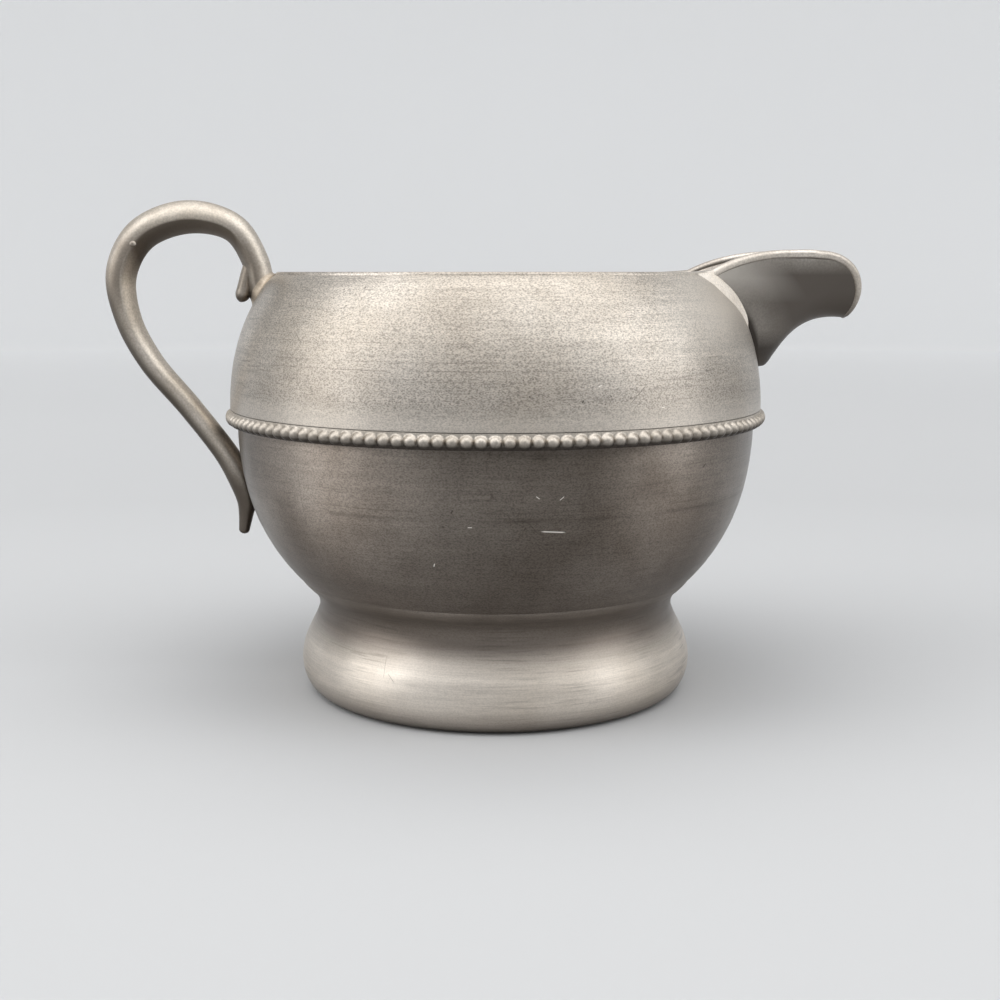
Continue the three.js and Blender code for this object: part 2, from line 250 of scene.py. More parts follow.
def scratch(tree, place, angle, height, length, lean, width):
    """Mask of one short straight mark on the wall, by its angle from the front and its height"""
    apart = parts_of(tree, place)
    turn = sums(tree, "ARCTAN2", apart["X"], sums(tree, "MULTIPLY", apart["Y"], -1.0))
    across = sums(tree, "MULTIPLY", sums(tree, "SUBTRACT", turn, math.radians(angle)), bowl_radius)
    up = sums(tree, "SUBTRACT", apart["Z"], height * mm)
    cosine = math.cos(math.radians(lean))
    sine = math.sin(math.radians(lean))
    along = sums(tree, "MULTIPLY_ADD", across, cosine, sums(tree, "MULTIPLY", up, sine))
    beside = sums(tree, "MULTIPLY_ADD", up, cosine, sums(tree, "MULTIPLY", across, -sine))
    half = length * mm / 2
    ends = spread(tree, sums(tree, "ABSOLUTE", along), half, half * 0.7)
    sides = spread(tree, sums(tree, "ABSOLUTE", beside), width * mm, width * mm * 0.3)
    return sums(tree, "MULTIPLY", ends, sides)


def spun_pewter(name, clean, tarnished, surface, bright_marks, dark_marks, grooves, shade_bands):
    """Satin sheet pewter with spinning lines, speckle, pits, scratches and tarnish, and painted shade in
    bands of height
    """
    finish, tree, shader = fresh_finish(name)
    grime = (0.055, 0.046, 0.039, 1)
    bare_metal = (0.9, 0.86, 0.8, 1)
    # Colour of the painted shade bands
    painted_shade_brown = (0.15, 0.126, 0.108, 1)
    brushing, pitting, darkest_speck = surface
    place = place_in(tree)
    up = parts_of(tree, place)["Z"]
    radius = from_axis(tree, place)

    def lines(around, across, detail):
        stretch = {0: place, 1: (around, around, across)}
        stretched = wire(tree, "ShaderNodeVectorMath", stretch, operation="MULTIPLY")
        across_radius = sums(tree, "MULTIPLY", radius, across)
        inputs = {"Vector": stretched, "W": across_radius, "Scale": 1.0, "Detail": detail}
        return wire(tree, "ShaderNodeTexNoise", inputs, noise_dimensions="4D")

    # Blends dirt and wear marks over a colour, and the painted shade bands too
    def marks_and_shade(colour, mask, share, overlay):
        return tinted(tree, sums(tree, "MULTIPLY", mask, share), colour, overlay)

    broad_lines = lines(30, 900, 2.0)
    fine_lines = lines(150, 6200, 2.0)
    speckle = lines(3600, 5600, 2.0)
    age = spread(tree, clouds(tree, place, 60, 6.0), 0.36, 0.66)
    worn_zone = spread(tree, clouds(tree, place, 75, 3.0), 0.42, 0.62)
    dashes = sums(tree, "MULTIPLY", spread(tree, lines(150, 3400, 2.0), 0.54, 0.68), worn_zone)
    pit_size = spread(tree, clouds(tree, place, 110, 4.0), 0.62 - pitting, 0.95 - pitting, 0.0, 0.22)
    pits = pits_in(tree, place, 950, pit_size)
    winding = sums(tree, "ABSOLUTE", sums(tree, "SUBTRACT", clouds(tree, place, 70, 2.0), 0.5))
    scuffed = spread(tree, clouds(tree, place, 38, 2.0), 0.6, 0.68)
    hairlines = sums(tree, "MULTIPLY", spread(tree, winding, 0.0022, 0.0008), scuffed)

    colour = tinted(tree, age, clean, tarnished)
    for pattern in (broad_lines, fine_lines):
        colour = shaded(tree, colour, pattern, 0.35, 0.65, 0.94, 1.05)
    # Painted shade: darker in bands of height where shade falls on the body
    for start_height, full_height, depth in shade_bands:
        in_shade_band = spread(tree, up, start_height * mm, full_height * mm)
        colour = marks_and_shade(colour, in_shade_band, depth, painted_shade_brown)
    colour = shaded(tree, colour, speckle, 0.34, 0.6, darkest_speck, 1.45 - 0.45 * darkest_speck)
    for mask, share in ((dashes, 0.26), (pits, 0.65), (hairlines, 0.55)):
        colour = marks_and_shade(colour, mask, share, grime)
    for height, breadth in grooves:
        away = sums(tree, "ABSOLUTE", sums(tree, "SUBTRACT", up, height * mm))
        ring = spread(tree, away, breadth * mm, breadth * mm * 0.2)
        broken = spread(tree, clouds(tree, place, 120, 4.0), 0.42, 0.66)
        colour = marks_and_shade(colour, sums(tree, "MULTIPLY", ring, broken), 0.4, grime)
    for mark in dark_marks:
        colour = marks_and_shade(colour, scratch(tree, place, *mark), 0.75, grime)
    for mark in bright_marks:
        colour = marks_and_shade(colour, scratch(tree, place, *mark), 1.0, bare_metal)
    gloss = sums(tree, "MULTIPLY_ADD", age, 0.08, spread(tree, speckle, 0.3, 0.7, 0.36, 0.44))
    relief = sums(tree, "MULTIPLY_ADD", broad_lines, 1.5, fine_lines)
    relief = sums(tree, "MULTIPLY_ADD", speckle, 0.7, relief)
    relief = sums(tree, "MULTIPLY_ADD", pits, -2.5, relief)
    as_metal(tree, shader, colour, gloss, relief, 0.6, 0.01 * mm)
    around = wire(tree, "ShaderNodeTangent", {}, direction_type="RADIAL", axis="Z")
    tree.links.new(around, shader.inputs["Tangent"])
    shader.inputs["Anisotropic"].default_value = brushing
    shader.inputs["Anisotropic Rotation"].default_value = 0.25
    return finish


bowl_rows = 120
lip_rows = 8
bowl_outside = []
for row in range(bowl_rows + 1):
    tilt = math.pi / 2 * (1 - row / bowl_rows)
    r = bowl_radius * math.cos(tilt) ** (2 / roundness)
    bowl_outside.append((r, belly_height - bowl_depth * math.sin(tilt) ** (2 / roundness)))
bowl_outside = tool_marked(bowl_outside)
for row in range(lip_rows + 1):
    z = seam_height + (lap_top - seam_height) * row / lip_rows
    bowl_outside.append((shoulder_radius(z) - wall - film, z))
bowl_bright = [
    (11.5, 33.4, 3.9, -4, 0.12), (8.1, 38.6, 0.7, -35, 0.07), (12.8, 38.4, 0.9, 40, 0.06),
    (-5, 34.2, 0.7, 0, 0.08), (-13, 28.1, 0.6, 70, 0.1),
]
bowl_dark = [
    (-8.4, 36.5, 0.6, 60, 0.16), (-10.3, 34.2, 0.5, 0, 0.17), (5.8, 34, 0.5, 70, 0.13),
    (46.7, 41.4, 0.9, 35, 0.2), (-43.3, 36.6, 9.5, 88, 0.05),
]
bowl_grooves = [(35.1, 0.35), (36.3, 0.15), (39.6, 0.12)]
# Painted shade: the bowl darker low down towards the foot
bowl_shade_bands = [(30, 18, 0.4)]
# The bowl's colours are darker than the shoulder's pewter: tarnish, and painted shade for the dark
# reflection low on the body
bowl_shaded_clean = (0.19, 0.166, 0.144, 1)
bowl_shaded_tarnished = (0.125, 0.105, 0.088, 1)
bowl_surface = (0.85, 0.05, 0.68)
bowl_finish = spun_pewter(
    "bowl_pewter_painted_dark", bowl_shaded_clean, bowl_shaded_tarnished, bowl_surface,
    bowl_bright, bowl_dark, bowl_grooves, bowl_shade_bands,
)
# Painted highlights and shade on the bowl, as gains across it
highlight_zones = [
    ("X", -7, -25, 2.2), ("X", -27, -40, 0.55), ("X", 14, 27, 1.85), ("X", 29, 38, 0.6), ("Y", 0, 25, 1.35),
]
highlight_low = 24 * mm
highlight_high = 36 * mm


def painted_bowl_highlights(finish):
    """Paints highlights in upright bands beside the handle and below the spout, less behind, and shade past
    them, fading lower down
    """
    tree = finish.node_tree
    apart = parts_of(tree, place_in(tree))
    gain = 1.0
    for side, start, full, brighter in highlight_zones:
        zone = spread(tree, apart[side], start * mm, full * mm, 1.0, brighter)
        gain = sums(tree, "MULTIPLY", zone, gain)
    high = spread(tree, apart["Z"], highlight_low, highlight_high, 0.15, 1.0)
    return painted_over(finish, high, gain, "MULTIPLY")


bowl = piece_of(turned(bowl_outside + walled(bowl_outside)[::-1]), "spun_bowl")
bowl.data.materials.append(painted_bowl_highlights(bowl_finish))
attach(bowl, "root")
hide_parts("lower_bowl")


# Shoulder: the upper half of the body, spun from the same sheet and closing in to a rounded rim.
# It slips over the bowl's lip, and a V is cut out of it where the spout opens.
rim_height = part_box("shoulder")[1].z
spout_half = 14.5 * mm
spout_clear = 6.15 * mm
spout_wall = 1.3 * mm
spout_drop = rim_height - seam_height - spout_clear
rim_edge = rim_height - wall / 2
rim_radius = shoulder_radius(rim_edge)


def spout_seam(s):
    """Joint of spout and shoulder, from one rim corner (-1) by the point of the V (0) to the other (1)"""
    z = rim_height - spout_drop * (1 - abs(s) ** 1.25)
    y = spout_half * s
    r = shoulder_radius(min(z, rim_edge))
    return Vector((math.sqrt(r * r - y * y), y, z))


def lofted(loops, joined):
    """Skins a row of equal closed loops, joining the last to the first or closing both ends"""
    form, rings = skinned(loops, joined)
    if not joined:
        count = len(loops[0])
        for ring in (rings[0], rings[-1]):
            for j in range(count // 2 - 1):
                form.faces.new((ring[j], ring[j + 1], ring[count - 2 - j], ring[count - 1 - j]))
    return form


notch_margin = spout_wall + film
notch_steps = 40
notch = []
for step in range(notch_steps + 1):
    s = step / notch_steps
    seam = spout_seam(s)
    z = seam.z + notch_margin * (1.6 - s)
    y = seam.y * (1 - notch_margin / spout_half)
    notch.append((math.asin(y / shoulder_radius(min(z, rim_edge))), min(z, rim_height)))


def shoulder_top(turn):
    """Height of the shoulder's edge, lower within the V"""
    for (a0, z0), (a1, z1) in zip(notch, notch[1:]):
        if a0 <= abs(turn) < a1:
            return z0 + (z1 - z0) * (abs(turn) - a0) / (a1 - a0)
    return rim_height


shoulder_rows = 48
rim_ease = 2.0 * mm
rim_ease_in = 1.4 * mm
rim_steps = 8
seam_gap = 0.1 * mm
shoulder_low = band_high.z + seam_gap


def eased_radius(z):
    """Radius of the shoulder's outside, drawn in towards the rim"""
    near_rim = min(max((z - rim_height + rim_ease) / rim_ease, 0), 1)
    return shoulder_radius(z) - rim_ease_in * (1 - math.sqrt(1 - near_rim ** 2))


shoulder_loops = []
for column in range(round_steps * 2):
    turn = math.pi * column / round_steps
    if turn > math.pi:
        turn -= 2 * math.pi
    edge = shoulder_top(turn) - wall / 2
    outside = []
    for row in range(shoulder_rows + 1):
        z = shoulder_low + (edge - shoulder_low) * (1 - (1 - row / shoulder_rows) ** 1.4)
        outside.append((eased_radius(z), z))
    outside = tool_marked(outside)
    inside = walled(outside)
    edge_r, edge_z = outside[-1]
    inside[-1] = (edge_r - wall, edge_z)
    rounded = []
    for step in range(1, rim_steps):
        lift = math.pi * step / rim_steps
        rounded.append((edge_r - wall / 2 + wall / 2 * math.cos(lift), edge_z + wall / 2 * math.sin(lift)))
    shoulder_loops.append([about(r, turn, z) for r, z in outside + rounded + inside[::-1]])
shoulder_bright = [(19.6, 54.3, 0.6, 20, 0.09), (33, 50.9, 0.6, 10, 0.06)]
shoulder_dark = [(-17.8, 50.1, 1.3, 90, 0.05), (16.1, 52.2, 0.5, 50, 0.14), (27.6, 53, 4.6, 42, 0.05)]
shoulder_grooves = [(57.6, 0.12), (56.4, 0.1), (60.2, 0.1)]
seam_line = shoulder_low / mm
# Painted shade: the shoulder darker towards its lower part, and a painted shadow line in the seam above the
# beads
shoulder_shade_bands = [(61, 49, 0.35), (seam_line + 0.16, seam_line + 0.04, 0.5)]
shoulder_clean = (0.63, 0.578, 0.515, 1)
shoulder_tarnished = (0.5, 0.448, 0.385, 1)
shoulder_surface = (0.65, 0.16, 0.58)
shoulder_finish = spun_pewter(
    "shoulder_pewter", shoulder_clean, shoulder_tarnished, shoulder_surface,
    shoulder_bright, shoulder_dark, shoulder_grooves, shoulder_shade_bands,
)
# Painted light on the shoulder by the spout, and a lighter ring above the seam
painted_light_by_spout = (0.9, 0.84, 0.76, 1)
filed_roughness = 0.4
seam_ring_light = (0.85, 0.79, 0.71, 1)


def lightened_by_spout_and_seam(finish):
    """Lightens a ring of the shoulder just above the beads, and paints light by the spout over the spout's
    dark reflection there, where it is rougher too
    """
    tree = finish.node_tree
    shader = tree.nodes["Principled BSDF"]
    apart = parts_of(tree, place_in(tree))
    ahead = spread(tree, apart["X"], 23 * mm, 35 * mm, 0.0, 0.8)
    high = spread(tree, apart["Z"], rim_height - 14 * mm, rim_height - 6 * mm)
    by_spout = sums(tree, "MULTIPLY", ahead, high)
    gloss = shader.inputs["Roughness"].links[0].from_socket
    rougher = sums(tree, "MULTIPLY_ADD", by_spout, filed_roughness, gloss)
    tree.links.new(rougher, shader.inputs["Roughness"])
    above_seam = spread(tree, apart["Z"], shoulder_low + 4 * mm, shoulder_low + 1 * mm, 0.0, 0.3)
    painted_over(finish, above_seam, seam_ring_light)
    return painted_over(finish, by_spout, painted_light_by_spout)


shoulder = piece_of(lofted(shoulder_loops, True), "spun_shoulder")
shoulder.data.materials.append(lightened_by_spout_and_seam(shoulder_finish))
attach(shoulder, "root")
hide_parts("shoulder")


# Lap solder: a soft grey run of solder inside, in the corner above the bowl's lip.
# It was sweated in with a torch, so its face is hollow and slightly uneven.
lap_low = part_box("seam_solder")[0].z
lap_outer = shoulder_radius(lap_low + wall) - wall - 2 * film


def solder_grey(name, bright, dull, roughness):
    """Soft solder with a pebbly face"""
    finish, tree, shader = fresh_finish(name)
    place = place_in(tree)
    flow = clouds(tree, place, 420, 3.0)
    grain = clouds(tree, place, 3400, 2.0)
    colour = tinted(tree, spread(tree, flow, 0.35, 0.7), bright, dull)
    colour = shaded(tree, colour, grain, 0.25, 0.75, 0.85, 1.12)
    gloss = spread(tree, flow, 0.3, 0.7, roughness, roughness + 0.14)
    relief = sums(tree, "MULTIPLY_ADD", grain, 0.25, flow)
    as_metal(tree, shader, colour, gloss, relief, 0.5, 0.05 * mm)
    return finish


lap_steps = 8
lap_outline = [(lap_outer, lap_low), (lap_outer, lap_low + wall)]
for step in range(1, lap_steps + 1):
    swing = math.pi / 2 * step / lap_steps
    lap_outline.append((lap_outer - wall * (1 - math.cos(swing)), lap_low + wall * (1 - math.sin(swing))))
lap_bright = (0.52, 0.485, 0.445, 1)
lap_dull = (0.4, 0.365, 0.33, 1)
lap_finish = solder_grey("lap_solder_grey", lap_bright, lap_dull, 0.36)
lap_solder = piece_of(turned(lap_outline), "lap_solder")
lap_solder.data.materials.append(lap_finish)
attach(lap_solder, "root")
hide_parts("seam_solder")


# Bead strip: a cast strip of 138 half-round beads sweated onto the bowl under the shoulder's edge.
# It hides the joint. The beads are a little uneven and worn, with painted shade low on them and in the
# clefts between them.
bead_count = 138
bead_radius = 1.04 * mm
bead_sag = 0.1 * mm
bead_flare = 0.9
bead_skirt = 0.25
strip_tuck = 0.03 * mm
strip_inner = bowl_radius + film
strip_face = shoulder_radius(shoulder_low) - strip_tuck
bead_rise = (band_high.y - band_low.y) / 2 - strip_face
strip_half = (band_high.z - band_low.z) / 2
bead_pitch = 2 * math.pi / bead_count
bead_columns = 14
bead_rows = 18
uneven = random.Random(7)
bead_loops = []
for bead in range(bead_count):
    size = bead_radius * uneven.uniform(0.96, 1)
    lift = bead_radius * uneven.uniform(-0.06, 0.03) - bead_sag
    for column in range(bead_columns):
        share = column / bead_columns * 2 - 1
        offset = math.sin(share * math.pi / 2) / 2 * bead_pitch
        turn = (bead + 0.5) * bead_pitch + offset
        loop = []
        for row in range(bead_rows + 1):
            up = -strip_half * math.cos(math.pi * row / bead_rows)
            off_centre = math.hypot(offset * strip_face, up - lift) / size
            dome = math.sqrt(1 - min(off_centre, bead_flare) ** 2) * size - bead_radius + bead_rise
            dome *= max(1 - max(off_centre - bead_flare, 0) / bead_skirt, 0) ** 2
            loop.append((strip_face + dome, up))
        loop += [(strip_inner, strip_half), (strip_inner, -strip_half)]
        bead_loops.append([about(r, turn, belly_height + up) for r, up in loop])


def cast_pewter(name, clean, dull, roughness):
    """Cast pewter with a fine sandy grain, cloudy tarnish and a few pits"""
    finish, tree, shader = fresh_finish(name)
    pit_grime = (0.06, 0.05, 0.043, 1)
    place = place_in(tree)
    age = spread(tree, clouds(tree, place, 130, 5.0), 0.35, 0.68)
    grain = clouds(tree, place, 3200, 3.0)
    ripple = clouds(tree, place, 420, 2.0)
    pits = pits_in(tree, place, 700, spread(tree, clouds(tree, place, 120, 3.0), 0.55, 0.9, 0.0, 0.2))
    colour = shaded(tree, tinted(tree, age, clean, dull), grain, 0.34, 0.66, 0.84, 1.12)
    colour = tinted(tree, sums(tree, "MULTIPLY", pits, 0.6), colour, pit_grime)
    gloss = sums(tree, "MULTIPLY_ADD", age, 0.08, roughness)
    relief = sums(tree, "MULTIPLY_ADD", ripple, 3.0, grain)
    relief = sums(tree, "MULTIPLY_ADD", pits, -2.0, relief)
    as_metal(tree, shader, colour, gloss, relief, 0.6, 0.012 * mm)
    return finish


# Darkest painted shade, low on the beads and in the spout's creases
deep_painted_shade = (0.04, 0.033, 0.028, 1)


def painted_shade_below(finish):
    """Paints shade on the cast strip's lower half: under its beads and low in the clefts between them"""
    tree = finish.node_tree
    place = place_in(tree)
    up = parts_of(tree, place)["Z"]
    radius = from_axis(tree, place)
    low = spread(tree, up, belly_height + 0.2 * bead_radius, belly_height - 0.7 * bead_radius)
    deep = spread(tree, radius, strip_face + bead_rise, strip_face, 0.86, 0.97)
    return painted_over(finish, sums(tree, "MULTIPLY", low, deep), deep_painted_shade)


bead_clean = (0.56, 0.512, 0.453, 1)
bead_dull = (0.43, 0.385, 0.328, 1)
strip_finish = painted_shade_below(cast_pewter("bead_pewter", bead_clean, bead_dull, 0.44))
bead_strip = piece_of(lofted(bead_loops, True), "bead_strip", crease=60)
bead_strip.data.materials.append(strip_finish)
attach(bead_strip, "root")
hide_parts("beaded_band")


# Ring foot: spun hollow, with a rolled side, a short collar under the bowl and a turned-in base.
# The jug stands on the flat of that base.
neck_radius = 30.2 * mm
collar_height = 2.5 * mm
foot_ledge = 3 * mm
foot_undercut = 3.7 * mm
bulge_height = 5.2 * mm
foot_low, foot_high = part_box("foot")
foot_wide = (foot_high.y - foot_low.y) / 2
foot_base = foot_wide - foot_undercut
collar_top = bowl_underside(neck_radius) - film
foot_neck = collar_top - collar_height
foot_rise = foot_neck - bulge_height


def bend(a, b, c, d, t):
    """Point on a cubic curve from a to d that leaves towards b and arrives from c"""
    return a * (1 - t) ** 3 + b * 3 * t * (1 - t) ** 2 + c * 3 * t * t * (1 - t) + d * t ** 3


roll = [
    Vector((foot_base, 0)), Vector((foot_base + foot_undercut * 0.6, 0)),
    Vector((foot_wide, bulge_height * 0.45)), Vector((foot_wide, bulge_height)),
]
swell = [
    Vector((foot_wide, bulge_height)), Vector((foot_wide, bulge_height + foot_rise * 0.4)),
    Vector((neck_radius + (foot_wide - neck_radius) * 0.25, foot_neck - foot_rise * 0.32)),
    Vector((neck_radius, foot_neck)),
]
foot_rows = 30
collar_rows = 8
foot_outside = [tuple(bend(*roll, row / foot_rows)) for row in range(foot_rows)]
foot_outside += [tuple(bend(*swell, row / foot_rows)) for row in range(foot_rows)]
foot_outside += [(neck_radius, foot_neck + (collar_top - foot_neck) * row / collar_rows)
                 for row in range(collar_rows + 1)]
foot_inside = walled(foot_outside)
foot_inside[0] = (foot_base, wall)
foot_inside[-1] = (neck_radius - wall, bowl_underside(neck_radius - wall) - film)
ledge_edge = foot_base - foot_ledge
foot_outline = [(ledge_edge, 0)] + tool_marked(foot_outside) + foot_inside[::-1] + [(ledge_edge, wall)]
foot_dark = [(-32.2, 9.6, 3.4, 100, 0.05), (-29.5, 8.2, 2.2, -32, 0.05)]
# Painted shade: the foot darker up its slope towards the neck and towards its bottom
foot_shade_bands = [(9.0, 13.4, 0.93), (4.2, 0.6, 0.85)]
foot_clean = (0.72, 0.66, 0.59, 1)
foot_tarnished = (0.61, 0.55, 0.48, 1)
foot_surface = (0.6, 0, 0.9)
foot_finish = spun_pewter(
    "foot_pewter", foot_clean, foot_tarnished, foot_surface, [], foot_dark, [], foot_shade_bands,
)
foot = piece_of(turned(foot_outline), "ring_foot")
foot.data.materials.append(foot_finish)
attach(foot, "root")
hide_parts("foot")


# Foot fillet: solder run around the corner of bowl and collar and rubbed down smooth, so that the bowl
# flows into the foot. Its upper edge still stands a little proud of the bowl.
fillet_reach = 1.9 * mm
fillet_step = 0.26 * mm
fillet_brow = 1.3 * mm
fillet_sink = 0.02 * mm
fillet_bottom = collar_top - fillet_reach
fillet_outer = neck_radius + fillet_reach
fillet_rows = 14
brow_rows = 5
fillet_start = Vector((neck_radius, fillet_bottom))
fillet_corner = Vector((neck_radius, collar_top))
fillet_end = Vector((fillet_outer, bowl_underside(fillet_outer) - fillet_step))
foot_fillet_outline = []
for row in range(fillet_rows + 1):
    t = row / fillet_rows
    toward = fillet_corner.lerp(fillet_end, t)
    foot_fillet_outline.append(tuple(fillet_start.lerp(fillet_corner, t).lerp(toward, t)))
for row in range(1, brow_rows + 1):
    swing = math.pi / 2 * row / brow_rows
    r = fillet_outer + fillet_brow * math.sin(swing)
    drop = fillet_step * math.cos(swing)
    foot_fillet_outline.append((r, bowl_underside(r) - drop + fillet_sink))
foot_fillet_outline.append((neck_radius, collar_top + film))
# The fillet's colours are painted dark as shade under the bowl, and darker still lower down
fillet_shade_bands = [(18.6, 16.5, 0.6)]
fillet_shaded_clean = (0.27, 0.238, 0.208, 1)
fillet_shaded_tarnished = (0.18, 0.153, 0.129, 1)
fillet_surface = (0.6, 0, 0.85)
fillet_finish = spun_pewter(
    "fillet_pewter_painted_dark", fillet_shaded_clean, fillet_shaded_tarnished, fillet_surface, [], [], [], fillet_shade_bands,
)
foot_fillet = piece_of(turned(foot_fillet_outline), "foot_fillet")
foot_fillet.data.materials.append(fillet_finish)
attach(foot_fillet, "root")
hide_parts("foot_solder")


# Spout: an open trough cast in pewter, its back filed to the shoulder. A rounded bead thickens its lip
# and runs out along the jug's rim on both sides.
spout_reach = 15.9 * mm
lip_rise = 3.8 * mm
lip_floor = 7.8 * mm
lip_half = 8.8 * mm
lip_nose = 10.2 * mm
lip_front = body_radius + spout_reach
lip_bead = 0.72 * mm
lip_recess = 0.22 * mm
lip_trim = 0.6 * mm
lip_tuck = 0.15 * mm
back_edge = 1.3 * mm


def spout_lip(s, trim):
    """Edge of the pouring lip or of a trough trimmed back from it, from crest to crest by the keel"""
    low = rim_height - lip_floor
    crest = rim_height + lip_rise - trim
    front = lip_front - trim
    side = [
        Vector((front - lip_nose * 0.12, low)),
        Vector((front + lip_nose * 0.14, low + (crest - low) * 0.4)),
        Vector((front - lip_nose * 0.06, crest)),
        Vector((lip_front - lip_nose, crest)),
    ]
    x, z = bend(*side, abs(s))
    y = lip_half * math.sin(abs(s) * math.pi / 2) ** 0.55
    return Vector((x, math.copysign(y, s), z))


def spout_skin(s, v, trim=0):
    """Point on the outside of the spout, v running from the joint to the lip"""
    start = spout_seam(s) - Vector((0, 0, trim * abs(s) ** 4))
    end = spout_lip(s, trim)
    span = end.x - start.x
    side = math.copysign(1, s)

    def between(keel, top):
        return keel + (top - keel) * abs(s)

    narrowing = -side * spout_half * between(0, 0.17)
    widening = side * lip_half * between(0, 0.11)
    leave = Vector((span * between(0.25, 0.3), narrowing, spout_drop * between(0.02, 0.18)))
    arrive = Vector((-span * between(0.68, 0.3), widening, lip_floor * between(0.16, 0)))
    if v < 0:
        return start + leave.normalized() * v
    return bend(start, start + leave, end + arrive, end, v)


def spout_inward(s, v):
    """Direction from the spout's outside into its channel"""
    step = 0.01
    edge = 0.94
    v = min(max(v, step), edge)
    s = min(max(s, -edge), edge)
    sideways = spout_skin(s + step, v) - spout_skin(s - step, v)
    forward = spout_skin(s, v + step) - spout_skin(s, v - step)
    return forward.cross(sideways).normalized()


def body_side(z):
    """Radius of the jug's body at a height"""
    return shoulder_radius(z) if z > belly_height else bowl_wall(z)


def body_normal(point):
    """Outward direction of the jug's body at a point on it"""
    step = 0.01 * mm
    z = min(point.z, rim_edge)
    slope = (body_side(z + step) - body_side(z - step)) / (2 * step)
    radial = Vector((point.x, point.y, 0)).normalized()
    return Vector((radial.x, radial.y, -slope)).normalized()


def eased_in(value, low, high):
    """Smooth rise from 0 to 1"""
    share = min(max((value - low) / (high - low), 0), 1)
    return share ** 2 * (3 - 2 * share)


trough_columns = 60
trough_rows = 40
trough_root = 0.5 * mm
trough_loops = []
for column in range(-trough_columns, trough_columns + 1):
    s = math.copysign(abs(column / trough_columns) ** 1.7, column)
    proud = body_normal(spout_seam(s)) * back_edge * (1 - eased_in(abs(s), 0.1, 0.5))
    outside = []
    inside = []
    for row in range(-1, trough_rows + 1):
        v = -trough_root if row < 0 else row / trough_rows
        inward = spout_inward(s, v)
        point = spout_skin(s, v, lip_trim)
        recess = inward * lip_recess * min(max(v, 0) * 4, 1)
        outside.append(point + recess if row < 0 else point + recess + proud * (1 - v) ** 3)
        tuck = lip_tuck * max(eased_in(v, 0.88, 1), eased_in(abs(s), 0.8, 1))
        inside.append(point + inward * (spout_wall - tuck))
    trough_loops.append(outside + inside[::-1])
trough = lofted(trough_loops, False)
trough_round = len(trough_loops[0])
for i, face in enumerate(trough.faces):
    if i % trough_round >= trough_round // 2:
        face.material_index = 1
spout = piece_of(trough, "cast_spout")
# Painted shade and light for the spout's outside, and painted shade for the undersides of castings
spout_painted_shade = (0.12, 0.105, 0.092, 1)
spout_painted_light = (0.46, 0.43, 0.39, 1)
painted_underside_shade = (0.085, 0.07, 0.057, 1)


def painted_spout_light_and_shade(finish):
    """Paints shade on the spout's wall below its lip, in the crease of its joint and at the point of the V,
    and paints light on its upper wall by the joint
    """
    tree = finish.node_tree
    place = place_in(tree)
    up = parts_of(tree, place)["Z"]
    radius = from_axis(tree, place)
    rise = sums(tree, "DIVIDE", sums(tree, "SUBTRACT", up, belly_height), shoulder_rise)
    fall = sums(tree, "SUBTRACT", 1.0, sums(tree, "POWER", rise, roundness))
    shoulder_there = sums(tree, "MULTIPLY", sums(tree, "POWER", fall, 1 / roundness), body_radius)
    away = sums(tree, "SUBTRACT", radius, shoulder_there)
    below_lip = spread(tree, up, rim_height + 2.5 * mm, rim_height - 0.5 * mm)
    out_front = spread(tree, away, 2.5 * mm, 8 * mm, 0.45, 1.0)
    painted_over(finish, sums(tree, "MULTIPLY", below_lip, out_front), spout_painted_shade)
    by_joint = spread(tree, away, 12 * mm, 5 * mm, 0.0, 0.72)
    high = spread(tree, up, rim_height - 5 * mm, rim_height - 1 * mm)
    painted_over(finish, sums(tree, "MULTIPLY", by_joint, high), spout_painted_light)
    in_crease = spread(tree, away, 1.5 * mm, 0.6 * mm, 0.0, 0.95)
    low = spread(tree, up, rim_height - 4.5 * mm, rim_height - 8 * mm)
    at_tip = spread(tree, up, rim_height - 9.5 * mm, rim_height - 12.5 * mm, 0.0, 0.85)
    darkest = sums(tree, "MAXIMUM", sums(tree, "MULTIPLY", in_crease, low), at_tip)
    return painted_over(finish, darkest, deep_painted_shade)


def facing_in(tree):
    """Direction that a piece's face looks in"""
    return wire(tree, "ShaderNodeNewGeometry", {}, "Normal")


def shade_undersides(finish, start, full, share):
    """Paints shade on the undersides of a casting, by how far they face down"""
    tree = finish.node_tree
    facing_up = parts_of(tree, facing_in(tree))["Z"]
    return painted_over(finish, spread(tree, facing_up, start, full, 0.0, share), painted_underside_shade)


# The spout's outside is painted darker as shade and its channel painted lighter against shadow, both the
# same cast pewter
spout_shaded_clean = (0.37, 0.345, 0.31, 1)
spout_shaded_dull = (0.27, 0.245, 0.215, 1)
spout_finish = painted_spout_light_and_shade(cast_pewter("spout_pewter_painted_dark", spout_shaded_clean, spout_shaded_dull, 0.36))
# Painted shade on the spout's undersides
spout.data.materials.append(shade_undersides(spout_finish, -0.55, -0.85, 0.8))
channel_painted_light_clean = (0.8, 0.745, 0.67, 1)
channel_painted_light_dull = (0.66, 0.6, 0.53, 1)
spout.data.materials.append(cast_pewter("channel_pewter_painted_light", channel_painted_light_clean, channel_painted_light_dull, 0.44))

